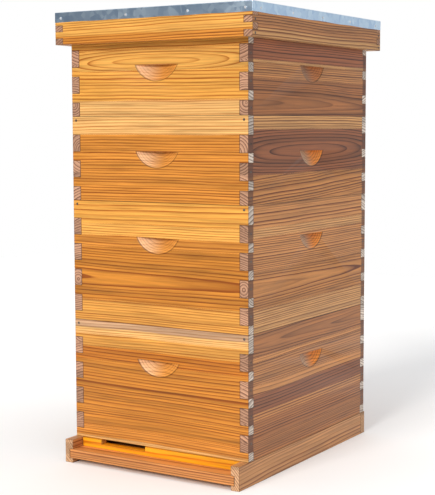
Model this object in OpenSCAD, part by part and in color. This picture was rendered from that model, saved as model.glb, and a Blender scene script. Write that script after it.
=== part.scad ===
// Ten-frame beehive: a bottom board with an entrance reducer, two deep and two medium boxes
// full of frames, an inner cover, and a telescoping cover under a metal cap.
// The entrance faces -Y and +X is its right-hand side. z = 0 is the underside of the bottom
// board's rails, and x = y = 0 is the middle of the whole hive's footprint.

/* [Boxes] */
// Width of every box, across the entrance
box_w = 413; // [340:1:500]
// Length of every box, front to back
box_l = 505; // [420:1:610]
// Thickness of the box boards
board_t = 19; // [17:0.5:23]
// Height of each deep box
deep_h = 244; // [200:1:295]
// Height of each medium box
medium_h = 168; // [138:1:205]
// Width of the ledge cut for the frame lugs
rabbet_w = 9.5; // [7:0.5:11]
// Depth of the ledge below the top of the box
rabbet_d = 16; // [14:0.5:19]

/* [Corner fingers] */
// Height of the end board's finger at the top of a corner
top_finger = 36.5; // [28:0.5:44]
// Height of each side board finger
side_finger = 33.5; // [27:0.5:41]
// Height of each lower end board finger
end_finger = 18.5; // [15:0.5:23]
// Height of the shortest finger that is cut at the bottom of a corner
least_finger = 9; // [6:0.5:12]

/* [Handholds] */
// Width of a handhold along its ledge
hold_w = 102; // [85:1:123]
// Height of a handhold, from its ledge to the bottom of its arc
hold_h = 33; // [27:0.5:40]
// Depth of a handhold under its ledge
hold_depth = 11; // [9:0.5:13]
// Drop from the top of a box to the ledge of its handholds
hold_drop = 69; // [57:1:83]

/* [Frames] */
// Width of the end bars' shoulders, which space the frames
end_bar_w = 35; // [31:0.5:38]
// Width of the end bars below their shoulders
end_bar_foot_w = 28; // [24:0.5:30]
// Thickness of the end bars
end_bar_t = 9.5; // [8:0.5:11.5]
// Height of the shoulders, from the top of the frame
shoulder_h = 83; // [70:1:100]
// Height over which a shoulder narrows to the foot of its end bar
shoulder_taper = 12; // [8:1:20]
// Width of the top bars
top_bar_w = 27; // [25:0.5:30]
// Thickness of the top bars between the end bars
top_bar_t = 19; // [17:0.5:22]
// Thickness of the lugs at the ends of the top bars
lug_t = 9.5; // [8:0.5:11.5]
// Width of the top bar's neck between the ears of an end bar
neck_w = 22; // [19:0.5:24]
// Width of the bottom bars
bottom_bar_w = 19; // [17:0.5:22]
// Thickness of the bottom bars
bottom_bar_t = 9.5; // [8:0.5:11.5]
// Thickness of the foundation sheets
foundation_t = 3; // [2.5:0.1:4]
// Depth of the grooves that hold the foundation
foundation_groove = 5; // [4:0.5:6]
// Gap between the frames and the boxes' end boards
bee_space = 9.5; // [7.5:0.5:11.5]
// Gap under the frames in a deep box
deep_under = 5.5; // [3:0.5:9]
// Gap under the frames in a medium box
medium_under = 2.5; // [2:0.5:9]

/* [Bottom board] */
// Thickness of the rails
rail_t = 19; // [16:0.5:23]
// Height of the space under the floor panel
under_floor = 9.5; // [8:0.5:14]
// Thickness of the floor panel
floor_t = 19; // [16:0.5:23]
// Height of the entrance above the floor panel
entrance_h = 19; // [16:0.5:23]
// Depth of the grooves that hold the floor panel
floor_groove = 8; // [6:0.5:8.5]
// Length of the landing in front of the boxes
landing_l = 36; // [30:1:60]
// How far each side rail stands out past the boxes
rail_proud = 1; // [0:0.5:3]
// How far the rear rail stands out behind the boxes
rear_proud = 3; // [0:0.5:6]

/* [Entrance reducer] */
// How far the reducer stands out in front of the boxes
reducer_proud = 3; // [0:0.5:6]
// Width of the wide notch along the top of the reducer
wide_notch_w = 108; // [80:1:130]
// Distance from the reducer's left end to the wide notch
wide_notch_x = 48; // [20:1:60]
// Width of the narrow notch in the reducer's rear face
narrow_notch_w = 20; // [12:1:30]
// Depth of both notches
notch_d = 9.5; // [7:0.5:11]

/* [Inner cover] */
// Height of the inner cover's rails
inner_h = 19; // [16:0.5:23]
// Width of the inner cover's rails
inner_rail_w = 40; // [32:1:48]
// Thickness of the inner cover's panel
inner_panel_t = 6.5; // [5:0.5:8]
// Gap between the underside of the rails and the panel
inner_lift = 3; // [2:0.5:6]
// Depth of the grooves that hold the panel
inner_groove = 8; // [6:0.5:12]
// Length of the hole in the panel
escape_l = 95; // [75:1:115]
// Width of the hole in the panel
escape_w = 32; // [26:1:40]

/* [Telescoping cover] */
// Gap all round between the boxes and the cover's rim
cover_gap = 3.5; // [2:0.5:8]
// Thickness of the rim boards
rim_t = 19; // [16:0.5:23]
// Height of the rim boards
rim_h = 63.5; // [53:0.5:76]
// Number of fingers in each corner of the rim
rim_fingers = 5; // [3:2:7]
// Thickness of the roof panel between the rim boards
roof_t = 19; // [16:0.5:23]
// Thickness of the metal sheet
metal_t = 0.5; // [0.4:0.1:0.8]
// Height of the metal's turned-down edge
metal_edge = 20; // [16:0.5:24]

/* [Nails] */
// Diameter of the nails' shanks
nail_d = 2.6; // [2:0.1:3.2]
// Diameter of the nails' heads
nail_head_d = 5; // [4:0.2:6]
// Thickness of the nails' heads
nail_head_t = 0.8; // [0.6:0.1:1.2]
// Length of the corner and rail nails
nail_l = 38; // [30:1:46]
// Length of the nails through the metal's edge
metal_nail_l = 16; // [12:1:19]
// Drop from the top of a box to the nails in its end boards
nail_drop = 8; // [6:0.5:9]
// Drop from the top of the cover to the nails in the metal's edge
metal_nail_drop = 12; // [9:0.5:14]
// Distance from the cover's front corners to the nearest nail in the metal's edge
front_nail_inset = 15; // [13:1:20]
// Distance from the cover's side corners to the nearest nail in the metal's edge
side_nail_inset = 28; // [24:1:40]
// How far the two middle nails at the front and rear stand right of even spacing
middle_nail_shift = 17; // [0:1:25]

/* [Fits] */
// Gap between neighbouring frames
frame_play = 0.2; // [0.1:0.1:1]
// Gap at each end of a top bar's lugs
lug_play = 1.5; // [1:0.5:3]
// Gap round the foundation in its grooves
foundation_play = 0.2; // [0.1:0.1:0.4]
// Gap above the foundation in the top bar's groove
foundation_head = 1; // [0.5:0.5:2]
// Gap at each edge of a panel in its groove
panel_play = 0.5; // [0.3:0.1:1]
// Gap above the reducer and at each of its ends
reducer_play = 0.5; // [0.3:0.1:1]
// Gap round a nail in its hole
nail_play = 0.05; // [0.02:0.01:0.1]

/* [Hidden] */
over = 1;                               // how far a cut runs past the face that it opens
nail_sides = 24;
hold_sides = 96;

inner_w = box_w - 2 * board_t;          // between the side boards
inner_l = box_l - 2 * board_t;          // between the end boards

rail_h = under_floor + floor_t + entrance_h;
rail_x = box_w / 2 + rail_proud;        // outer face of a side rail
rail_gap = 2 * (rail_x - rail_t);       // between the side rails
rail_front = -box_l / 2 - landing_l;
rail_rear = box_l / 2 + rear_proud;
floor_w = rail_gap + 2 * (floor_groove - panel_play);

// Each box: its name, the height of its underside, its own height, the gap under its frames
BOXES = [
    ["deep_lower", rail_h, deep_h, deep_under],
    ["deep_upper", rail_h + deep_h, deep_h, deep_under],
    ["medium_lower", rail_h + 2 * deep_h, medium_h, medium_under],
    ["medium_upper", rail_h + 2 * deep_h + medium_h, medium_h, medium_under],
];
function floor_of(box) = box[1];
function height_of(box) = box[2];
function top_of(box) = box[1] + box[2];
stack_top = top_of(BOXES[3]);

// Drop from the top of a box to each side board finger, and the height of that finger
function finger_drops(h) = [for (d = top_finger; d + least_finger <= h; d = d + side_finger + end_finger) d];
function finger_height(h, d) = h - d - side_finger < least_finger ? h - d : side_finger;

// The frames stand on the ledges by their lugs, as many as the box has room for
frame_pitch = end_bar_w + frame_play;
frame_count = floor(inner_w / frame_pitch);
frame_l = inner_l - 2 * bee_space;      // over the end bars
top_bar_l = inner_l + 2 * rabbet_w - 2 * lug_play;
frame_drop = rabbet_d - lug_t;          // from the top of the box to the top of its frames
function frame_h(box) = height_of(box) - frame_drop - box[3];

cover_w = box_w + 2 * (cover_gap + rim_t);
cover_l = box_l + 2 * (cover_gap + rim_t);
inner_cover_top = stack_top + inner_h;
cover_top = inner_cover_top + roof_t;
rim_finger = rim_h / rim_fingers;

// The boxes stand behind the middle of the footprint by half of what the landing adds to it
cover_reach = cover_l / 2 + metal_t + nail_head_t;
box_y = (-rail_front - cover_reach) / 2;

BOX_PARTS = ["front_board", "rear_board", "left_board", "right_board", "corner_nails",
             "frame_top_bars", "frame_end_bars", "frame_bottom_bars", "foundations"];

// ---- Shared shapes ----

// A bar from one corner to the opposite one
module bar(low, high) {
    translate(low) cube(high - low);
}

// Moves a piece from the box stack's own middle to its place over the footprint
module on_stack() {
    translate([0, box_y, 0]) children();
}

// A nail whose head ends at z = 0 and whose shank points down, with the play of its hole
module nail(length, play = 0) {
    translate([0, 0, -nail_head_t - play]) cylinder(d = nail_head_d + 2 * play, h = nail_head_t + play, $fn = nail_sides);
    translate([0, 0, -length - play]) cylinder(d = nail_d + 2 * play, h = length, $fn = nail_sides);
}

// ---- Bottom board ----

// The rail on one side, grooved for the floor panel
module side_rail(side) {
    color("#b98252") on_stack() difference() {
        bar([min(side * rail_x, side * (rail_x - rail_t)), rail_front, 0],
            [max(side * rail_x, side * (rail_x - rail_t)), rail_rear - rail_t, rail_h]);
        floor_space(floor_w / 2 + panel_play);
        at_rail_nails() nail(nail_l, nail_play);
    }
}

// The space that the floor panel fills, out to a half width
module floor_space(half_w) {
    bar([-half_w, rail_front - over, under_floor],
        [half_w, rail_rear - rail_t + floor_groove, under_floor + floor_t]);
}

module left_rail() { side_rail(-1); }

module right_rail() { side_rail(1); }

// The rail across the back, which closes the hive behind the floor panel
module rear_rail() {
    color("#b98252") on_stack() difference() {
        bar([-rail_x, rail_rear - rail_t, 0], [rail_x, rail_rear, rail_h]);
        floor_space(floor_w / 2 + panel_play);
        at_rail_nails() nail(nail_l, nail_play);
    }
}

module floor_panel() {
    color("#c07a3e") on_stack()
        bar([-floor_w / 2, rail_front, under_floor],
            [floor_w / 2, rail_rear - rail_t + floor_groove - panel_play, under_floor + floor_t]);
}

// Two nails through the rear rail into the end of each side rail, above and below its groove
module at_rail_nails() {
    for (side = [-1, 1], z = [under_floor / 2, rail_h - entrance_h / 2])
        translate([side * (rail_x - rail_t / 2), rail_rear, z]) rotate([-90, 0, 0]) children();
}

module rail_nails() {
    color("silver") on_stack() at_rail_nails() nail(nail_l);
}

// A square stick that fills the entrance but for its notch, pulled out to the front
module entrance_reducer() {
    size = entrance_h - reducer_play;
    left = -rail_gap / 2 + reducer_play;
    front = -box_l / 2 - reducer_proud;
    low = under_floor + floor_t;
    color("#f2a51f") on_stack() difference() {
        bar([left, front, low], [-left, front + size, low + size]);
        bar([left + wide_notch_x, front - over, low + size - notch_d],
            [left + wide_notch_x + wide_notch_w, front + size + over, low + size + over]);
        bar([-left - wide_notch_x - narrow_notch_w, front + size - notch_d, low - over],
            [-left - wide_notch_x, front + size + over, low + size + over]);
    }
}

// ---- Boxes ----

// A finger grip cut into a face at y = 0 with the wood behind it: a shallow round scoop, cut off
// flat at its ledge at z = 0, where it is deepest
module handhold() {
    outline_r = (pow(hold_w / 2, 2) + pow(hold_h, 2)) / (2 * hold_h);
    rise = outline_r - hold_h;
    stand_off = (pow(outline_r, 2) - pow(rise, 2) - pow(hold_depth, 2)) / (2 * hold_depth);
    intersection() {
        translate([0, -stand_off, rise])
            sphere(r = sqrt(pow(outline_r, 2) + pow(stand_off, 2)), $fn = hold_sides);
        bar([-hold_w, -hold_depth / 2, -hold_w], [hold_w, 2 * hold_depth, 0]);
    }
}

// A corner nail in each end board near its top, and one through each side board finger
module at_corner_nails(box) {
    h = height_of(box);
    for (side = [-1, 1], end = [-1, 1]) {
        translate([side * (box_w - board_t) / 2, end * box_l / 2, top_of(box) - nail_drop])
            rotate([-90 * end, 0, 0]) children();
        for (d = finger_drops(h))
            translate([side * box_w / 2, end * (box_l - board_t) / 2, top_of(box) - d - finger_height(h, d) / 2])
                rotate([0, 90 * side, 0]) children();
    }
}

// The front or rear board: notched at its ends, with a ledge for the frame lugs along its top
module end_board(box, end) {
    h = height_of(box);
    low = floor_of(box);
    outer = box_l / 2;
    color("#e8a850") on_stack() rotate([0, 0, end > 0 ? 180 : 0]) difference() {
        bar([-box_w / 2, -outer, low], [box_w / 2, -outer + board_t, low + h]);
        for (side = [-1, 1], d = finger_drops(h))
            translate([side * (box_w / 2 - board_t / 2 + over / 2), -outer + board_t / 2, low + h - d])
                finger_cut(d + finger_height(h, d) < h ? finger_height(h, d) : h - d + over);
        bar([-inner_w / 2, -outer + board_t - rabbet_w, low + h - rabbet_d],
            [inner_w / 2, -outer + board_t + over, low + h + over]);
        translate([0, -outer, low + h - hold_drop]) handhold();
        at_corner_nails(box) nail(nail_l, nail_play);
    }
}

// The notch for one finger, centred in the board's thickness, from z = 0 down
module finger_cut(h) {
    bar([-(board_t + over) / 2, -board_t / 2 - over, -h], [(board_t + over) / 2, board_t / 2 + over, 0]);
}

// The left or right board, whose fingers reach the front and rear faces
module side_board(box, side) {
    h = height_of(box);
    low = floor_of(box);
    color("#b07f58") on_stack() rotate([0, 0, side < 0 ? 180 : 0]) difference() {
        union() {
            bar([inner_w / 2, -inner_l / 2, low], [box_w / 2, inner_l / 2, low + h]);
            for (d = finger_drops(h))
                bar([inner_w / 2, -box_l / 2, low + h - d - finger_height(h, d)],
                    [box_w / 2, box_l / 2, low + h - d]);
        }
        translate([box_w / 2, 0, low + h - hold_drop]) rotate([0, 0, 90]) handhold();
        at_corner_nails(box) nail(nail_l, nail_play);
    }
}

module front_board(box) { end_board(box, -1); }

module rear_board(box) { end_board(box, 1); }

module left_board(box) { side_board(box, -1); }

module right_board(box) { side_board(box, 1); }

module corner_nails(box) {
    color("dimgray") on_stack() at_corner_nails(box) nail(nail_l);
}

// ---- Frames ----

// Places children, made with the middle of a frame's top at the origin, in each frame of a box
module in_frames(box) {
    for (i = [0 : frame_count - 1])
        translate([(i - (frame_count - 1) / 2) * frame_pitch, box_y, top_of(box) - frame_drop]) children();
}

// Flat bars with a lug at each end, notched for the end bars' ears, grooved underneath
module frame_top_bars(box) {
    groove = foundation_t / 2 + foundation_play;
    color("#e3c08c") in_frames(box) difference() {
        union() {
            bar([-top_bar_w / 2, -frame_l / 2, -top_bar_t], [top_bar_w / 2, frame_l / 2, 0]);
            bar([-top_bar_w / 2, -top_bar_l / 2, -lug_t], [top_bar_w / 2, top_bar_l / 2, 0]);
        }
        for (side = [-1, 1], end = [-1, 1])
            translate([side * (neck_w + top_bar_w) / 2, end * (frame_l - end_bar_t) / 2, 0])
                bar([-top_bar_w / 2, -end_bar_t / 2, -top_bar_t - over], [top_bar_w / 2, end_bar_t / 2, over]);
        bar([-groove, -frame_l / 2 - over, -top_bar_t - over], [groove, frame_l / 2 + over, -top_bar_t + foundation_groove]);
    }
}

// Upright bars, broad at the shoulders, with a notch at the top and bottom for the other bars
module frame_end_bars(box) {
    h = frame_h(box);
    shoulder = end_bar_w / 2;
    foot = end_bar_foot_w / 2;
    shoulder_z = -min(shoulder_h, h / 2);
    color("#dcb67e") in_frames(box) for (end = [-1, 1])
        translate([0, end * (frame_l - end_bar_t) / 2 + end_bar_t / 2, 0]) rotate([90, 0, 0])
            linear_extrude(end_bar_t) difference() {
                polygon([[-shoulder, 0], [shoulder, 0], [shoulder, shoulder_z], [foot, shoulder_z - shoulder_taper],
                         [foot, -h], [-foot, -h], [-foot, shoulder_z - shoulder_taper], [-shoulder, shoulder_z]]);
                translate([-neck_w / 2, -top_bar_t]) square([neck_w, top_bar_t + over]);
                translate([-bottom_bar_w / 2, -h - over]) square([bottom_bar_w, bottom_bar_t + over]);
            }
}

module frame_bottom_bars(box) {
    h = frame_h(box);
    groove = foundation_t / 2 + foundation_play;
    color("#dcb67e") in_frames(box) difference() {
        bar([-bottom_bar_w / 2, -frame_l / 2, -h], [bottom_bar_w / 2, frame_l / 2, -h + bottom_bar_t]);
        bar([-groove, -frame_l / 2 - over, -h + bottom_bar_t - foundation_groove],
            [groove, frame_l / 2 + over, -h + bottom_bar_t + over]);
    }
}

// Wax-coated sheets, which stand in the bottom bars' grooves
module foundations(box) {
    half_l = frame_l / 2 - end_bar_t - panel_play;
    color("#e8c534") in_frames(box)
        bar([-foundation_t / 2, -half_l, -frame_h(box) + bottom_bar_t - foundation_groove],
            [foundation_t / 2, half_l, -top_bar_t + foundation_groove - foundation_head]);
}

// ---- Inner cover ----

inner_panel_low = stack_top + inner_lift;
inner_half_w = box_w / 2 - inner_rail_w;
inner_half_l = box_l / 2 - inner_rail_w;

// The space that the panel fills, with a play at its edges
module inner_panel_space(play) {
    reach = inner_groove - panel_play + play;
    bar([-inner_half_w - reach, -inner_half_l - reach, inner_panel_low],
        [inner_half_w + reach, inner_half_l + reach, inner_panel_low + inner_panel_t]);
}

module inner_side_rail(side) {
    color("#c9a06a") on_stack() rotate([0, 0, side < 0 ? 180 : 0]) difference() {
        bar([inner_half_w, -box_l / 2, stack_top], [box_w / 2, box_l / 2, inner_cover_top]);
        inner_panel_space(panel_play);
    }
}

module inner_end_rail(end) {
    color("#c9a06a") on_stack() rotate([0, 0, end > 0 ? 180 : 0]) difference() {
        bar([-inner_half_w, -box_l / 2, stack_top], [inner_half_w, -inner_half_l, inner_cover_top]);
        inner_panel_space(panel_play);
    }
}

module inner_left_rail() { inner_side_rail(-1); }

module inner_right_rail() { inner_side_rail(1); }

module inner_front_rail() { inner_end_rail(-1); }

module inner_rear_rail() { inner_end_rail(1); }

// A thin panel with a round-ended hole in its middle
module inner_panel() {
    color("#d9b67c") on_stack() difference() {
        inner_panel_space(0);
        translate([0, 0, inner_panel_low - over]) {
            for (end = [-1, 1])
                translate([0, end * (escape_l - escape_w) / 2, 0])
                    cylinder(d = escape_w, h = inner_panel_t + 2 * over, $fn = 48);
            bar([-escape_w / 2, -(escape_l - escape_w) / 2, 0],
                [escape_w / 2, (escape_l - escape_w) / 2, inner_panel_t + 2 * over]);
        }
    }
}

// ---- Telescoping cover ----

rim_low = cover_top - rim_h;
rim_half_w = cover_w / 2 - rim_t;
rim_half_l = cover_l / 2 - rim_t;

// Nails through the metal's turned-down edge, as [distance from the middle] lists
front_nail_end = cover_w / 2 - front_nail_inset;
front_nails = [-front_nail_end, -front_nail_end / 3 + middle_nail_shift,
               front_nail_end / 3 + middle_nail_shift, front_nail_end];
side_nail_end = cover_l / 2 - side_nail_inset;
side_nails = [for (i = [-2 : 2]) i * side_nail_end / 2];

module at_metal_nails() {
    z = cover_top + metal_t - metal_nail_drop;
    for (end = [-1, 1], x = front_nails)
        translate([x, end * (cover_l / 2 + metal_t + nail_head_t), z]) rotate([-90 * end, 0, 0]) children();
    for (side = [-1, 1], y = side_nails)
        translate([side * (cover_w / 2 + metal_t + nail_head_t), y, z]) rotate([0, 90 * side, 0]) children();
}

// Nails through each side rim finger that the metal doesn't cover
module at_rim_nails() {
    for (side = [-1, 1], end = [-1, 1], i = [0 : 2 : rim_fingers - 3])
        translate([side * cover_w / 2, end * (cover_l - rim_t) / 2, rim_low + (i + 0.5) * rim_finger])
            rotate([0, 90 * side, 0]) children();
}

// The side rim boards have the odd fingers, counted from the bottom
module rim_side(side) {
    color("#b07f58") on_stack() rotate([0, 0, side < 0 ? 180 : 0]) difference() {
        union() {
            bar([rim_half_w, -rim_half_l, rim_low], [cover_w / 2, rim_half_l, cover_top]);
            for (i = [0 : 2 : rim_fingers - 1])
                bar([rim_half_w, -cover_l / 2, rim_low + i * rim_finger],
                    [cover_w / 2, cover_l / 2, rim_low + (i + 1) * rim_finger]);
        }
        rotate([0, 0, side < 0 ? 180 : 0]) at_metal_nails() nail(metal_nail_l, nail_play);
        at_rim_nails() nail(nail_l, nail_play);
    }
}

// The front and rear rim boards have the even fingers
module rim_end(end) {
    color("#e8a850") on_stack() rotate([0, 0, end > 0 ? 180 : 0]) difference() {
        union() {
            bar([-rim_half_w, -cover_l / 2, rim_low], [rim_half_w, -rim_half_l, cover_top]);
            for (i = [1 : 2 : rim_fingers - 1])
                bar([-cover_w / 2, -cover_l / 2, rim_low + i * rim_finger],
                    [cover_w / 2, -rim_half_l, rim_low + (i + 1) * rim_finger]);
        }
        rotate([0, 0, end > 0 ? 180 : 0]) at_metal_nails() nail(metal_nail_l, nail_play);
        at_rim_nails() nail(nail_l, nail_play);
    }
}

module rim_left() { rim_side(-1); }

module rim_right() { rim_side(1); }

module rim_front() { rim_end(-1); }

module rim_rear() { rim_end(1); }

module rim_nails() {
    color("dimgray") on_stack() at_rim_nails() nail(nail_l);
}

// The roof panel lies on the inner cover, between the rim boards
module roof_panel() {
    color("#c9a06a") on_stack()
        bar([-rim_half_w, -rim_half_l, inner_cover_top], [rim_half_w, rim_half_l, cover_top]);
}

// One sheet, turned down all round over the rim boards
module metal_cap() {
    color("#a9bccb") on_stack() difference() {
        bar([-cover_w / 2 - metal_t, -cover_l / 2 - metal_t, cover_top + metal_t - metal_edge],
            [cover_w / 2 + metal_t, cover_l / 2 + metal_t, cover_top + metal_t]);
        bar([-cover_w / 2, -cover_l / 2, cover_top + metal_t - metal_edge - over],
            [cover_w / 2, cover_l / 2, cover_top]);
        at_metal_nails() nail(metal_nail_l, nail_play);
    }
}

module metal_nails() {
    color("silver") on_stack() at_metal_nails() nail(metal_nail_l);
}

// ---- Assembly ----

left_rail();
right_rail();
rear_rail();
floor_panel();
rail_nails();
entrance_reducer();

for (box = BOXES) {
    front_board(box);
    rear_board(box);
    left_board(box);
    right_board(box);
    corner_nails(box);
    frame_top_bars(box);
    frame_end_bars(box);
    frame_bottom_bars(box);
    foundations(box);
}

inner_left_rail();
inner_right_rail();
inner_front_rail();
inner_rear_rail();
inner_panel();

rim_left();
rim_right();
rim_front();
rim_rear();
rim_nails();
roof_panel();
metal_cap();
metal_nails();
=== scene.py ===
import math

import bmesh
import bpy
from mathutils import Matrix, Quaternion, Vector


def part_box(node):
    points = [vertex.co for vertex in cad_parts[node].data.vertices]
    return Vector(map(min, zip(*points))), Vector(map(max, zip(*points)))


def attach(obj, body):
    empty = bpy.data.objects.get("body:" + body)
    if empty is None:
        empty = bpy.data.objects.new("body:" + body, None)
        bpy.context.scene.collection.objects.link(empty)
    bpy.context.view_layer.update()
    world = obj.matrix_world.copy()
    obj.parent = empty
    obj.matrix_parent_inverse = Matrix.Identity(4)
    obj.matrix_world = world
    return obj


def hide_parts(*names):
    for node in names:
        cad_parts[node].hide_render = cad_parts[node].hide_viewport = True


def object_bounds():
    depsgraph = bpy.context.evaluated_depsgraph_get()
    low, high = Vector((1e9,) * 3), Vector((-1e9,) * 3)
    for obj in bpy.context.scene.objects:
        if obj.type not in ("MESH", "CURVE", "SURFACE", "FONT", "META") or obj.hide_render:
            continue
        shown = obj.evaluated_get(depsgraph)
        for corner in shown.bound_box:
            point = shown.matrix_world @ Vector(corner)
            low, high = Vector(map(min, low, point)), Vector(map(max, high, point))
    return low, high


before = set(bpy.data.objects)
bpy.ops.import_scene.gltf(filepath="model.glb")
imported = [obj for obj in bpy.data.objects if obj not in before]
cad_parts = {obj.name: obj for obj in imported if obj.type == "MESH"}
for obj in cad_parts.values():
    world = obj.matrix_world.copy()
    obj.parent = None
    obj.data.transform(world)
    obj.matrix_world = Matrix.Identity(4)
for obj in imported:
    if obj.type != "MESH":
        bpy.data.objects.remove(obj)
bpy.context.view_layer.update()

# ---- Bottom board ----
# Two side rails and a rear rail of waxed pine, grooved round a pine floor panel and nailed
# through the rear rail. They are planed boards with their sharp edges just taken off.


class Number:
    """A number that a material works out at each point, for use in ordinary sums."""

    def __init__(self, shading, socket):
        self.shading = shading
        self.socket = socket

    def sum(self, operation, *values):
        return self.shading.sum(operation, *values)

    def __add__(self, other):
        return self.sum("ADD", self, other)

    def __sub__(self, other):
        return self.sum("SUBTRACT", self, other)

    def __rsub__(self, other):
        return self.sum("SUBTRACT", other, self)

    def __mul__(self, other):
        return self.sum("MULTIPLY", self, other)

    def __truediv__(self, other):
        return self.sum("DIVIDE", self, other)

    def __pow__(self, other):
        return self.sum("POWER", self, other)

    def __abs__(self):
        return self.sum("ABSOLUTE", self)

    __radd__ = __add__
    __rmul__ = __mul__

    def larger(self, other):
        return self.sum("MAXIMUM", self, other)

    def floor(self):
        return self.sum("FLOOR", self)

    def fraction(self):
        return self.sum("FRACT", self)

    def ramp(self, start, end):
        """0 at start, 1 at end, and a smooth step between."""
        settings = {"interpolation_type": "SMOOTHSTEP"}
        values = {"Value": self, "From Min": start, "From Max": end}
        return self.shading.number("ShaderNodeMapRange", settings, values)


class Shading:
    """The nodes of one material, or of the light all round."""

    def __init__(self, tree):
        self.tree = tree

    def node(self, kind, settings=None, values=None):
        node = self.tree.nodes.new(kind)
        for name, value in (settings or {}).items():
            setattr(node, name, value)
        for name, value in (values or {}).items():
            if isinstance(value, Number):
                value = value.socket
            if isinstance(value, bpy.types.NodeSocket):
                self.tree.links.new(value, node.inputs[name])
            else:
                node.inputs[name].default_value = value
        return node

    def number(self, kind, settings=None, values=None, output=0):
        return Number(self, self.node(kind, settings, values).outputs[output])

    def sum(self, operation, *values):
        return self.number("ShaderNodeMath", {"operation": operation}, dict(enumerate(values)))

    def vector_sum(self, operation, values, output=0):
        return self.node("ShaderNodeVectorMath", {"operation": operation}, values).outputs[output]

    def parts(self, vector):
        """The X, Y and Z of a vector, as numbers."""
        split = self.node("ShaderNodeSeparateXYZ", values={0: vector})
        return {axis: Number(self, split.outputs[axis]) for axis in "XYZ"}

    def point(self, x, y, z):
        return self.node("ShaderNodeCombineXYZ", values={0: x, 1: y, 2: z}).outputs[0]

    def noise(self, point, detail=2.0, roughness=0.5):
        values = {"Vector": point, "Scale": 1.0, "Detail": detail, "Roughness": roughness}
        return self.number("ShaderNodeTexNoise", None, values, "Fac")

    def waver(self, *place, detail=2.0):
        """Noise that wanders either side of nought, mostly within a half."""
        return (self.noise(self.point(*place), detail, 0.6) - 0.5) * 2.5

    def chance(self, number):
        """A fixed random number from 0 to 1 for each whole number."""
        return self.number("ShaderNodeTexWhiteNoise", {"noise_dimensions": "1D"}, {"W": number}, "Value")

    def blend(self, amount, first, second):
        """First where amount is 0, second where it is 1: colours, or vectors of three numbers."""
        if isinstance(second, tuple) and len(second) == 3:
            values = {0: amount, 4: first, 5: second}
            return self.node("ShaderNodeMix", {"data_type": "VECTOR"}, values).outputs[1]
        values = {0: amount, 6: first, 7: second}
        return self.node("ShaderNodeMix", {"data_type": "RGBA"}, values).outputs[2]

    def scaled(self, vector, amount):
        """A point moved out, or a colour made lighter or darker, by a number."""
        return self.vector_sum("SCALE", {0: vector, "Scale": amount})


class Look(Shading):
    """A material under construction, around one Principled shader."""

    def __init__(self, name, roughness, **constants):
        self.material = bpy.data.materials.new(name)
        self.material.use_nodes = True
        super().__init__(self.material.node_tree)
        self.shader = self.tree.nodes["Principled BSDF"]
        self.shader.inputs["Roughness"].default_value = roughness
        for socket, value in constants.items():
            self.shader.inputs[socket.replace("_", " ")].default_value = value
        self.place = self.node("ShaderNodeTexCoord").outputs["Object"]

    def finish(self, colour, roughness=None, height=None, depth=0.001, metallic=None):
        for name, value in (("Base Color", colour), ("Roughness", roughness), ("Metallic", metallic)):
            if value is not None:
                socket = value.socket if isinstance(value, Number) else value
                self.tree.links.new(socket, self.shader.inputs[name])
        if height is not None:
            bump = self.node("ShaderNodeBump", None, {"Height": height, "Distance": depth})
            self.tree.links.new(bump.outputs[0], self.shader.inputs["Normal"])
        return self.material


def screen(red, green, blue):
    """A colour given as a screen shows it, from 0 to 255."""
    def light(value):
        value = value / 255
        return value / 12.92 if value <= 0.04045 else ((value + 0.055) / 1.055) ** 2.4
    return light(red), light(green), light(blue), 1.0


def seed_of(name):
    return sum(ord(letter) * place for place, letter in enumerate(name, 1)) * 0.0173


class Plank:
    """One plank of a board: where its top edge is, its pale and dark colours, and its rings.

    ring is the spacing of the rings, pith where their middle is, across and through the board,
    lean how far that moves across and through for each metre along the board, and bow how
    quickly it curves through the board.
    """

    def __init__(self, top, shades, ring, pith, lean=(0.0, 0.0), bow=0.0):
        self.top = top
        self.shades = shades
        self.ring = ring
        self.pith = pith
        self.lean = lean
        self.bow = bow

    def placed(self, top, face):
        """The plank in its place, where it was given from a board's top edge and outer face."""
        inward = -1 if face > 0 else 1
        pith = top - self.pith[0], face + inward * self.pith[1]
        lean = self.lean[0], inward * self.lean[1]
        return Plank(top - self.top, self.shades, self.ring, pith, lean, inward * self.bow)


WHOLE = 1.0             # a top edge above every board, for a board that is all one plank
SEAM = 0.001            # half the width over which one plank's look gives way to the next's
SEAM_WANDER = 0.002     # how far the line between two planks wavers
RING_WANDER = 0.005     # how far rings stray in the length of a board
RING_RIPPLE = 0.0006    # how far they stray within a few centimetres
FAINT_WITHIN = 0.03     # radius within which the rings' lines are fainter
FINGER_PITCH = 0.024    # height over which the end grain keeps one tone
LOG_L = 3.0             # length and width of the wood that a row of like pieces is cut from
LOG_W = 0.2
CUTTER_STEP = 0.0018    # depth between the marks that a cutter leaves in a hollow
HAIR = 0.0006           # width of the line where a hollow starts
WAXED = 0.42            # roughness of a waxed face
SOAK_FADE = 0.003       # length over which wood that has soaked up wax turns dark
SOAKED = screen(98, 60, 44)


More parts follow.
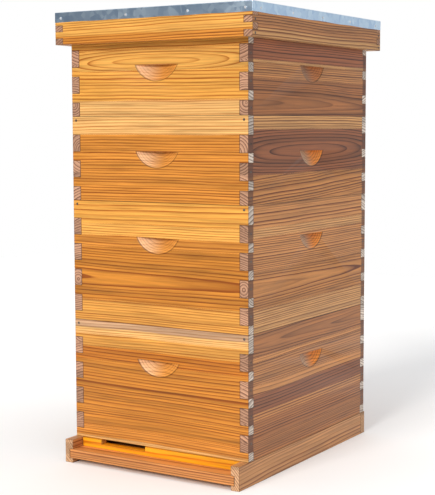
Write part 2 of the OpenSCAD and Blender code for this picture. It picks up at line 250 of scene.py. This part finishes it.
def wood(name, grain, planks, end, bowl=None, soaked=None, pieces=None):
    """Softwood in the round: growth rings about each plank's pith, with planks edge to edge.

    grain is the axes along, across and through the board, and end the pale and dark colours of
    its end grain. bowl is a hollow cut in the board: its colours where it faces either end, which
    on the side boards are painted light and shade, how far out the board's face is, the hollow's
    middle and its size, along and across; the hollow is also painted darker the deeper it goes,
    as shade. soaked is the board's middle and how far from there wax has darkened it. pieces is
    the place of the first of a row of like pieces and their pitch, and gives each one its own
    stretch of grain.
    """
    look = Look(name, WAXED, Specular_IOR_Level=0.3)
    seed = seed_of(name)
    place = look.parts(look.place)
    along, across, through = (place[axis] for axis in grain)
    if pieces:
        first, pitch = pieces
        piece = ((place["X"] - first) / pitch + 0.5).floor()
        along = along + look.chance(piece) * LOG_L
        across = across + look.chance(piece + 50.0) * LOG_W

    def grown(lengthwise, sideways, detail=2.0):
        """Wavering noise drawn out along the grain, in waves to the metre each way."""
        return look.waver(along * lengthwise + seed, across * sideways, through * sideways, detail=detail)

    # The planks, each laid over those above it from its own top edge down
    crosswise = place[grain[1]] + look.waver(along * 6 + seed, seed, 0.0) * SEAM_WANDER
    chosen = None
    for plank in planks:
        traits = (*plank.pith, plank.ring), (*plank.lean, plank.bow), *plank.shades
        below = crosswise.ramp(plank.top + SEAM, plank.top - SEAM)
        chosen = [look.blend(below, old, new) for old, new in zip(chosen or traits, traits)]
    heart, lean, early, late = chosen
    heart = look.parts(heart)
    lean = look.parts(lean)

    # Rings: a dark line ends each year's growth, some years' lines stronger than others'
    drift = grown(2.5, 8, detail=1.0)
    level = across - heart["X"] - along * lean["X"] + drift * RING_WANDER
    depth = through - heart["Y"] - along * lean["Y"] - along * along * lean["Z"]
    radius = (level * level + depth * depth) ** 0.5 + grown(11, 50, detail=1.0) * RING_RIPPLE
    turns = radius / heart["Z"] + look.waver(radius * 45, seed, 0.0)
    year = turns.fraction()
    strength = look.chance(turns.floor() + seed) * 0.65 + 0.35
    strength = strength * (radius.ramp(0.0, FAINT_WITHIN) * 0.7 + 0.3)
    line = year ** 4 * (1 - year.ramp(0.92, 1.0)) * strength

    # The colour along the board: lines, fine fibres, streaks and broad uneven bands
    band = look.waver(radius * 70 + 7.0, seed, 0.0)
    fibre = grown(9, 230, detail=4.0)
    patch = grown(4, 30)
    streak = grown(5, 170).ramp(0.15, 0.8)
    colour = look.blend(line * (2.6 + patch) + streak * 0.5, early, late)
    colour = look.scaled(colour, 1.06 + fibre * 0.45 + band * 0.36 + patch * 0.18)

    # Eased edges are painted darker: painted shade, standing for the shadow in the grooves where boards
    # meet
    normal = look.parts(look.node("ShaderNodeNewGeometry").outputs["True Normal"])
    facing = {axis: abs(normal[axis]) for axis in "XYZ"}
    edge = 1 - facing["X"].larger(facing["Y"]).larger(facing["Z"]).ramp(0.95, 0.99)

    if bowl:
        back, forward, face, middle, size = bowl
        half_length, half_height = size[0] / 2, size[1] / 2
        deep = face - abs(through)
        sideways = 1 - abs(along - middle[0]).ramp(half_length, half_length + HAIR)
        upright = 1 - abs(across - middle[1]).ramp(half_height + HAIR, half_height + 2 * HAIR)
        sunk = deep.ramp(HAIR, 2 * HAIR) * sideways * upright
        arcs = (deep / CUTTER_STEP + drift * 3).fraction() ** 3
        # The walls take the colour for the end that they face: on the side boards this is painted light
        # and shade
        cut = look.blend(normal[grain[0]].ramp(-0.15, 0.2), back, forward)
        # Cutter marks and rings, with painted shade that darkens the hollow the deeper it goes
        hollow_marks_and_shade = look.scaled(look.blend(line + arcs * 0.5, cut, late), 1.05 + fibre * 0.3 - deep * 16)
        colour = look.blend(sunk, colour, hollow_marks_and_shade)
        edge = edge * (1 - sunk)
    if soaked:
        middle, start = soaked
        soak = (abs(along - middle) + patch * SOAK_FADE).ramp(start, start + SOAK_FADE)
        colour = look.blend(soak * (0.78 + patch * 0.3), colour, SOAKED)

    # End grain: the same rings seen end on, with open pores, one tone to each finger
    ends = facing[grain[0]].ramp(0.9, 0.97)
    pores = look.noise(look.point(along * 500, across * 800, through * 800), 2.0)
    tone = look.chance((across / FINGER_PITCH + 0.3).floor() + seed)
    end_colour = look.scaled(look.blend(year ** 2, *end), 0.5 + pores * 0.45 + tone * 0.5)
    # Painted shade: the eased edges darken the colour here
    colour = look.scaled(look.blend(ends, colour, end_colour), 1 - edge * 0.5)
    roughness = WAXED + fibre * 0.1 + ends * 0.25
    return look.finish(colour, roughness, height=fibre * 0.12 - line * 0.1 + ends * pores * 0.5)


SMOOTH_WITHIN = math.radians(14)    # the most that a surface turns at an edge and looks smooth


def add_piece(name, shape, material, body, stands_for):
    """A finished mesh as a piece of the object, riding on its body in place of a made part."""
    mesh = bpy.data.meshes.new(name)
    shape.to_mesh(mesh)
    shape.free()
    mesh.shade_smooth()
    mesh.set_sharp_from_angle(angle=SMOOTH_WITHIN)
    mesh.materials.clear()
    mesh.materials.append(material)
    piece = bpy.data.objects.new(name, mesh)
    bpy.context.scene.collection.objects.link(piece)
    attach(piece, body)
    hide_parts(stands_for)


FLAT_WITHIN = math.radians(0.5)     # faces that turn less than this are one face
EASED_OVER = math.radians(40)       # edges that turn more than this are rounded


def eased(node, name, material, body, edge=0.0007, shortest=0.006):
    """A copy of a made part with its edges just rounded over, which then stands for it.

    edge is how far the rounding goes in from an edge, and edges up to shortest stay sharp.
    """
    shape = bmesh.new()
    shape.from_mesh(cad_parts[node].data)
    bmesh.ops.remove_doubles(shape, verts=shape.verts, dist=1e-6)
    bmesh.ops.dissolve_limit(shape, angle_limit=FLAT_WITHIN, verts=shape.verts, edges=shape.edges)
    edges = [e for e in shape.edges
             if e.is_manifold and e.calc_length() > shortest and e.calc_face_angle() > EASED_OVER]
    bmesh.ops.bevel(shape, geom=edges, offset=edge, segments=2, profile=0.5,
                    affect="EDGES", material=-1)
    add_piece(name, shape, material, body, node)


def paint(node, material):
    """Gives a made part that is shown as it is its finish."""
    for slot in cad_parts[node].material_slots:
        slot.material = material


def nail_look(name, colour, tarnish):
    look = Look(name, 0.4, Metallic=0.9)
    spots = look.noise(look.scaled(look.place, 900), 2.0)
    mottle = look.noise(look.scaled(look.place, 260), 3.0)
    tint = look.blend(mottle.ramp(0.45, 0.7), colour, tarnish)
    return look.finish(tint, 0.28 + spots * 0.4, height=spots * 0.2)


RAIL = screen(194, 140, 90), screen(134, 80, 46)
RAIL_END = screen(208, 164, 124), screen(112, 72, 46)
for side, pith in (("left", (0.10, -0.12)), ("right", (-0.06, 0.10))):
    rail_look = wood(side + "_rail_pine", "YZX", [Plank(WHOLE, RAIL, 0.0042, pith, (0.02, 0.0))], RAIL_END)
    eased(side + "_rail", side + "_rail_wood", rail_look, "bottom_board")
rear_plank = Plank(WHOLE, RAIL, 0.004, (-0.05, 0.15), (0.02, 0.0))
rear_look = wood("rear_rail_pine", "XZY", [rear_plank], RAIL_END)
eased("rear_rail", "rear_rail_wood", rear_look, "bottom_board")
FLOOR = screen(204, 136, 76), screen(128, 70, 34)
floor_plank = Plank(WHOLE, FLOOR, 0.0052, (-0.282, -0.10), (0.004, 0.004))
floor_look = wood("floor_pine", "XYZ", [floor_plank], RAIL_END)
eased("floor_panel", "floor_boards", floor_look, "bottom_board")
dark_nail = nail_look("dark_nail_steel", screen(112, 104, 98), screen(72, 50, 40))
paint("rail_nails", dark_nail)

# ---- Entrance reducer ----
# A square stick of bright pine that fills the entrance but for the notch sawn in it. It is held
# by nothing and slides out to the front by hand.
REDUCER = screen(243, 164, 26), screen(214, 120, 10)
REDUCER_END = screen(238, 180, 90), screen(160, 96, 44)
reducer_plank = Plank(WHOLE, REDUCER, 0.006, (-0.05, 0.03), (0.01, 0.0))
reducer_look = wood("reducer_pine", "XZY", [reducer_plank], REDUCER_END)
eased("entrance_reducer", "reducer_stick", reducer_look, "reducer")

# ---- Boxes ----
# Two deep boxes and two medium ones, of pine planks glued edge to edge and dipped in wax. The
# ends' grain runs across the hive and the sides' from front to rear; finger joints are nailed.
BOXES = "deep_lower", "deep_upper", "medium_lower", "medium_upper"
# The ends' colours are yellower
CREAM = screen(226, 176, 108), screen(178, 112, 52)
BUFF = screen(194, 154, 118), screen(142, 96, 62)
YELLOW = screen(224, 165, 80), screen(170, 98, 28)
GOLD = screen(221, 158, 70), screen(160, 86, 22)
HONEY = screen(206, 146, 66), screen(152, 84, 22)
ORANGE = screen(205, 134, 52), screen(136, 68, 14)
AMBER = screen(190, 122, 42), screen(130, 66, 10)
EMBER = screen(182, 110, 32), screen(122, 58, 8)
# The sides' are browner: partly their wood's own colour, partly painted shade, as the sides face away from
# the key light
SAND = screen(204, 151, 94), screen(122, 72, 36)
TAN = screen(201, 138, 80), screen(106, 54, 26)
OCHRE = screen(190, 128, 70), screen(98, 48, 20)
FAWN = screen(185, 126, 75), screen(98, 52, 26)
CLAY = screen(169, 110, 63), screen(94, 52, 28)
RUST = screen(169, 102, 64), screen(84, 42, 26)
BROWN = screen(166, 106, 60), screen(80, 38, 20)
PLUM = screen(144, 87, 54), screen(66, 32, 20)
FRONT_END = screen(228, 214, 200), screen(100, 74, 62)
SIDE_END = screen(194, 148, 118), screen(84, 48, 36)
# The planks of the boards from the top down. Their edges and piths are measured down from the
# box's top edge, and their piths also in from the board's outer face.
END_PLANKS = {
    "medium_upper": [
        Plank(0.000, GOLD, 0.0052, (0.300, 0.120), (0.004, 0.0)),
        Plank(0.039, YELLOW, 0.0042, (0.062, 0.007), bow=0.3),
        Plank(0.080, GOLD, 0.0056, (-0.030, 0.070), (-0.010, 0.0)),
        Plank(0.138, CREAM, 0.0052, (0.450, 0.060))],
    "medium_lower": [
        Plank(0.000, CREAM, 0.0052, (0.400, 0.080), (0.004, 0.0)),
        Plank(0.036, ORANGE, 0.0054, (-0.300, 0.100))],
    "deep_upper": [
        Plank(0.000, GOLD, 0.0075, (0.300, 0.120), (0.006, 0.0)),
        Plank(0.045, YELLOW, 0.0050, (0.300, 0.100)),
        Plank(0.069, ORANGE, 0.0060, (0.300, 0.080)),
        Plank(0.092, AMBER, 0.0056, (0.155, 0.0202), (0.0, 0.014)),
        Plank(0.200, HONEY, 0.0050, (0.500, 0.100), (-0.006, 0.0))],
    "deep_lower": [
        Plank(0.000, BUFF, 0.0048, (0.400, 0.080), (0.010, 0.0)),
        Plank(0.014, CREAM, 0.0048, (0.400, 0.080), (0.010, 0.0)),
        Plank(0.028, HONEY, 0.0052, (0.400, 0.080), (0.010, 0.0)),
        Plank(0.053, EMBER, 0.0060, (0.320, 0.080), (-0.006, 0.0)),
        Plank(0.080, AMBER, 0.0060, (0.350, 0.090), (-0.004, 0.0)),
        Plank(0.180, AMBER, 0.0056, (0.600, 0.060)),
        Plank(0.216, ORANGE, 0.0048, (0.600, 0.060)),
        Plank(0.238, CREAM, 0.0050, (0.600, 0.060))],
}
SIDE_PLANKS = {
    "medium_upper": [
        Plank(0.000, RUST, 0.0050, (-0.150, 0.090)),
        Plank(0.064, SAND, 0.0050, (0.200, 0.100)),
        Plank(0.069, TAN, 0.0042, (0.300, 0.100)),
        Plank(0.098, BROWN, 0.0050, (0.146, 0.012), (0.0, 0.03))],
    "medium_lower": [
        Plank(0.000, SAND, 0.0050, (0.300, 0.080)),
        Plank(0.026, PLUM, 0.0055, (0.068, 0.012), bow=0.2),
        Plank(0.112, OCHRE, 0.0060, (0.300, 0.090), (0.05, 0.0))],
    "deep_upper": [
        Plank(0.000, TAN, 0.0055, (0.200, 0.100), (0.01, 0.0)),
        Plank(0.046, SAND, 0.0045, (0.300, 0.100)),
        Plank(0.063, TAN, 0.0045, (0.400, 0.080)),
        Plank(0.128, OCHRE, 0.0050, (0.160, 0.015), (0.0, 0.02)),
        Plank(0.200, SAND, 0.0045, (0.500, 0.080))],
    "deep_lower": [
        Plank(0.000, CLAY, 0.0050, (0.022, 0.012), (0.0, -0.02)),
        Plank(0.048, TAN, 0.0045, (0.300, 0.080)),
        Plank(0.057, FAWN, 0.0050, (0.300, 0.080)),
        Plank(0.102, TAN, 0.0060, (0.300, 0.080)),
        Plank(0.120, PLUM, 0.0060, (0.300, 0.060), (0.01, 0.0)),
        Plank(0.156, TAN, 0.0050, (0.400, 0.080)),
        Plank(0.170, BROWN, 0.0050, (0.300, 0.060)),
        Plank(0.208, CLAY, 0.0040, (0.500, 0.060))],
}
# Handholds: their width and height, the drop of their ledges, and their colours where they face
# the board's low end and its high end. On the side boards these are painted light and shade: the
# wall facing the front is painted lit and the one facing the rear shaded, with a duller pair for
# the top box
HOLD_SIZE = 0.102, 0.033
HOLD_DROP = 0.069
END_BOWL = screen(222, 148, 66), screen(232, 174, 118)
SIDE_BOWL_LIT_AND_SHADED = screen(244, 146, 56), screen(198, 158, 124)
DULL_BOWL_LIT_AND_SHADED = screen(208, 130, 72), screen(172, 130, 98)
FINGER_L = 0.019        # length of the corner fingers, which the wax darkens
for box in BOXES:
    front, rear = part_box(box + "_front_board"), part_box(box + "_rear_board")
    left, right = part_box(box + "_left_board"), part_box(box + "_right_board")
    top = front[1].z
    hold_z = top - HOLD_DROP - HOLD_SIZE[1] / 2
    for side, face in (("front", front[0].y), ("rear", rear[1].y)):
        node = f"{box}_{side}_board"
        planks = [plank.placed(top, face) for plank in END_PLANKS[box]]
        bowl = (*END_BOWL, abs(face), (0, hold_z), HOLD_SIZE)
        end_look = wood(node + "_pine", "XZY", planks, FRONT_END, bowl)
        eased(node, node + "_wood", end_look, box + "_box")
    middle, half = (right[0].y + right[1].y) / 2, (right[1].y - right[0].y) / 2
    # Painted light and shade for the side boards' hollows, duller on the top box
    bowl_light_and_shade = DULL_BOWL_LIT_AND_SHADED if box == "medium_upper" else SIDE_BOWL_LIT_AND_SHADED
    for side, face in (("left", left[0].x), ("right", right[1].x)):
        node = f"{box}_{side}_board"
        planks = [plank.placed(top, face) for plank in SIDE_PLANKS[box]]
        bowl = (*bowl_light_and_shade, abs(face), (middle, hold_z), HOLD_SIZE)
        side_look = wood(node + "_pine", "YZX", planks, SIDE_END, bowl, soaked=(middle, half - FINGER_L))
        eased(node, node + "_wood", side_look, box + "_box")
    paint(box + "_corner_nails", dark_nail)

# ---- Frames ----
# Ten frames hang by their top bars' ends in each box: thin pale basswood bars round a sheet of
# beeswax-coated foundation, pressed with the pattern of the comb's cells.
BASS = screen(246, 220, 178), screen(222, 184, 134)
BASS_END = screen(232, 204, 160), screen(186, 148, 104)
WAX = screen(240, 196, 84), screen(214, 158, 48)
CELL = 0.0053
FRAME_PITCH = 0.0352


def foundation_look():
    """Wax pressed with cells: three waves a sixth of a turn apart cross to make hexagons."""
    look = Look("beeswax_foundation", 0.45, Subsurface_Weight=0.1)
    place = look.parts(look.place)
    slant = math.sqrt(3) / 2
    wave = 2 * math.pi / (CELL * slant)
    y, z = place["Y"] * wave, place["Z"] * wave
    slanted = (y * 0.5 + z * slant, y * 0.5 - z * slant)
    cells = look.sum("COSINE", y) + look.sum("COSINE", slanted[0]) + look.sum("COSINE", slanted[1])
    walls = cells.ramp(-0.2, -1.3)
    cloud = look.noise(look.scaled(look.place, 18), 3.0)
    tint = look.blend(cloud * 0.7 + walls * 0.3, *WAX)
    return look.finish(tint, 0.38 + cloud * 0.2, height=walls, depth=0.0006)


wax = foundation_look()
first_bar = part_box("deep_lower_frame_top_bars")[0].x
for box in BOXES:
    for bars, grain in (("top_bars", "YXZ"), ("end_bars", "ZXY"), ("bottom_bars", "YXZ")):
        node = f"{box}_frame_{bars}"
        planks = [Plank(WHOLE, BASS, 0.0035, (0.1, 0.05), (0.01, 0.0))]
        bar_look = wood(node + "_basswood", grain, planks, BASS_END, pieces=(first_bar, FRAME_PITCH))
        eased(node, node + "_wood", bar_look, box + "_frames", edge=0.0004, shortest=0.004)
    paint(box + "_foundations", wax)

# ---- Inner cover ----
# A thin plywood panel with a hand hole, held in the grooves of four pine rails. It lies loose on
# the top box, under the telescoping cover.
INNER_END = screen(224, 190, 158), screen(140, 100, 74)
# The side rails take the browner side colours, which are partly painted shade
for side, grain, shades, pith in (("left", "YZX", TAN, (0.5, -0.1)), ("right", "YZX", TAN, (0.6, 0.3)),
                                  ("front", "XZY", GOLD, (0.5, 0.1)), ("rear", "XZY", GOLD, (0.6, -0.1))):
    node = f"inner_{side}_rail"
    inner_look = wood(node + "_pine", grain, [Plank(WHOLE, shades, 0.0045, pith, (0.01, 0.0))], INNER_END)
    eased(node, node + "_wood", inner_look, "inner_cover")
ply = Plank(WHOLE, SAND, 0.009, (0.05, 0.84), (0.01, 0.02))
panel_look = wood("inner_panel_ply", "YXZ", [ply], INNER_END)
eased("inner_panel", "inner_panel_wood", panel_look, "inner_cover", edge=0.0004)

# ---- Telescoping cover ----
# Four finger-jointed pine rims, nailed at their corners round a pine roof panel. Each rim is two
# planks glued edge to edge.
RIM_SEAM = 0.016        # the glued edge's height above the rim's lower edge
# The side rims take the browner side colours, which are partly painted shade
RIMS = {
    "front": ("XZY", YELLOW, ORANGE, 0.0045, (0.98, -0.20)),
    "rear": ("XZY", GOLD, ORANGE, 0.005, (0.7, 0.2)),
    "left": ("YZX", FAWN, SAND, 0.005, (0.75, -0.15)),
    "right": ("YZX", FAWN, SAND, 0.005, (0.75, 0.30)),
}
for side, (grain, upper, lower, ring, pith) in RIMS.items():
    node = "rim_" + side
    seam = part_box(node)[0].z + RIM_SEAM
    planks = [Plank(WHOLE, upper, ring, pith, (0.01, 0.0)), Plank(seam, lower, ring, pith, (0.01, 0.0))]
    rim_look = wood(node + "_pine", grain, planks, SIDE_END)
    eased(node, node + "_wood", rim_look, "cover")
paint("rim_nails", dark_nail)
roof_plank = Plank(WHOLE, TAN, 0.008, (0.1, 1.0), (0.01, 0.0))
roof_look = wood("roof_panel_pine", "YXZ", [roof_plank], INNER_END)
eased("roof_panel", "roof_boards", roof_look, "cover")

# ---- Metal cap ----
# One galvanised sheet over the cover's top. Its edges are turned down all round over a small
# bend, run a little wavy, and are nailed to the rims with bright nails.
SHEET_T = 0.0005
BEND = 0.0013
CUT_STEP = 0.02         # the sheet is cut into strips this wide, so that its edge can wave
WAVE = 0.0004
WAVE_TURNS = 61, 47     # how fast the wave turns across the hive and along it, in radians a metre
ZINC = screen(170, 201, 234), screen(220, 240, 255)


def galvanised_look():
    """Zinc-dipped sheet: large dull crystals and faint drawn lines on a blue-grey metal."""
    look = Look("galvanised_sheet", 0.35)
    values = {"Vector": look.place, "Scale": 90.0, "Randomness": 1.0}
    crystal = look.parts(look.node("ShaderNodeTexVoronoi", None, values).outputs["Color"])["X"]
    cloud = look.noise(look.scaled(look.place, 14), 3.0)
    scratch = look.noise(look.vector_sum("MULTIPLY", {0: look.place, 1: (30, 30, 900)}), 2.0)
    tint = look.blend(crystal * 0.6 + cloud * 0.4, *ZINC)
    roughness = 0.24 + crystal * 0.08 + cloud * 0.1
    height = cloud * 0.25 + scratch * 0.05
    return look.finish(tint, roughness, height, metallic=0.94 + crystal * 0.06)


low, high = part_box("metal_cap")
shape = bmesh.new()
bmesh.ops.create_cube(shape, size=1)
bmesh.ops.scale(shape, vec=high - low, verts=shape.verts)
bmesh.ops.translate(shape, vec=(low + high) / 2, verts=shape.verts)
underside = [f for f in shape.faces if f.normal.z < -0.5]
bmesh.ops.delete(shape, geom=underside, context="FACES_ONLY")
folds = [e for e in shape.edges if not e.is_boundary]
bmesh.ops.bevel(shape, geom=folds, offset=BEND, segments=3, profile=0.5, affect="EDGES", material=-1)
for axis, across in enumerate((Vector((1, 0, 0)), Vector((0, 1, 0)))):
    for cut in range(1, int((high[axis] - low[axis]) / CUT_STEP)):
        bmesh.ops.bisect_plane(shape, geom=shape.verts[:] + shape.edges[:] + shape.faces[:],
                               plane_co=across * (low[axis] + cut * CUT_STEP), plane_no=across, dist=1e-6)
for vert in shape.verts:
    if vert.co.z < low.z + 1e-5:
        turn = vert.co.x * WAVE_TURNS[0] + vert.co.y * WAVE_TURNS[1]
        vert.co.z += WAVE * math.sin(turn) + WAVE
bmesh.ops.recalc_face_normals(shape, faces=shape.faces)
bmesh.ops.solidify(shape, geom=shape.faces, thickness=SHEET_T)
add_piece("roof_sheet", shape, galvanised_look(), "cover", "metal_cap")
paint("metal_nails", nail_look("bright_nail_steel", screen(236, 238, 240), screen(190, 194, 200)))

# ---- Camera ----
# A long lens at the height of the top box, seeing the front and the right side, and turned a
# touch in its mount.
AZIMUTH, ELEVATION, ROLL = math.radians(31.98), math.radians(5.5), math.radians(-0.17)
DISTANCE = 2.647
LENS = 90.96
low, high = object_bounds()
aim = (low + high) / 2 + Vector((-0.008, -0.012, -0.027))


def towards(azimuth, elevation):
    """The direction from the hive: azimuth from its front round to its right, and up."""
    level = math.cos(elevation)
    return Vector((math.sin(azimuth) * level, -math.cos(azimuth) * level, math.sin(elevation)))


lens = bpy.data.cameras.new("camera")
lens.lens = LENS
camera = bpy.data.objects.new("camera", lens)
camera.location = aim + towards(AZIMUTH, ELEVATION) * DISTANCE
turned = towards(AZIMUTH, ELEVATION).to_track_quat("Z", "Y") @ Quaternion((0, 0, 1), ROLL)
camera.rotation_euler = turned.to_euler()
scene = bpy.context.scene
scene.collection.objects.link(camera)
scene.camera = camera

# ---- Studio ----
# A white paper floor, a broad warm key from the front, a soft light from above, and a room that
# is dim in front of the hive and bright behind its right-hand side.
FLOOR_REACH = 3
PAPER = (0.93, 0.93, 0.93, 1), (0.96, 0.96, 0.96, 1)
DIM_SIDE = 0.12, 0.12, 0.13, 1
BRIGHT_SIDE = 0.68, 0.69, 0.70, 1
WHITE = 1, 1, 1, 1
BRIGHT_AZIMUTH = math.radians(148)
scene.view_settings.view_transform = "Standard"
paper = bpy.data.meshes.new("studio_floor")
shape = bmesh.new()
bmesh.ops.create_grid(shape, x_segments=1, y_segments=1, size=FLOOR_REACH)
shape.to_mesh(paper)
shape.free()
studio_floor = bpy.data.objects.new("studio_floor", paper)
scene.collection.objects.link(studio_floor)
paper_look = Look("studio_paper", 0.9)
grey = paper_look.noise(paper_look.scaled(paper_look.place, 3.0), 1.0)
paper.materials.append(paper_look.finish(paper_look.blend(grey, *PAPER)))


def sun(name, azimuth, elevation, strength, spread, colour):
    """A lamp far off: its direction and how wide it looks are in degrees."""
    data = bpy.data.lights.new(name, "SUN")
    data.energy = strength
    data.angle = math.radians(spread)
    data.color = colour
    light = bpy.data.objects.new(name, data)
    source = towards(math.radians(azimuth), math.radians(elevation))
    light.rotation_euler = source.to_track_quat("Z", "Y").to_euler()
    scene.collection.objects.link(light)


sun("key", -2, 28, 2.4, 25, (1.0, 0.97, 0.92))
sun("top", 20, 80, 1.3, 60, (1.0, 1.0, 1.0))
world = bpy.data.worlds.new("studio")
world.use_nodes = True
room = Shading(world.node_tree)
direction = room.node("ShaderNodeTexCoord").outputs["Generated"]
side_on = room.vector_sum("DOT_PRODUCT", {0: direction, 1: towards(BRIGHT_AZIMUTH, 0)}, "Value")
smooth = {"interpolation_type": "SMOOTHERSTEP"}
brightness = room.number("ShaderNodeMapRange", smooth, {"Value": side_on, "From Min": -1})
around = room.blend(brightness, DIM_SIDE, BRIGHT_SIDE)
seen = room.node("ShaderNodeLightPath").outputs["Is Camera Ray"]
background = room.tree.nodes["Background"]
room.tree.links.new(room.blend(seen, around, WHITE), background.inputs["Color"])
scene.world = world
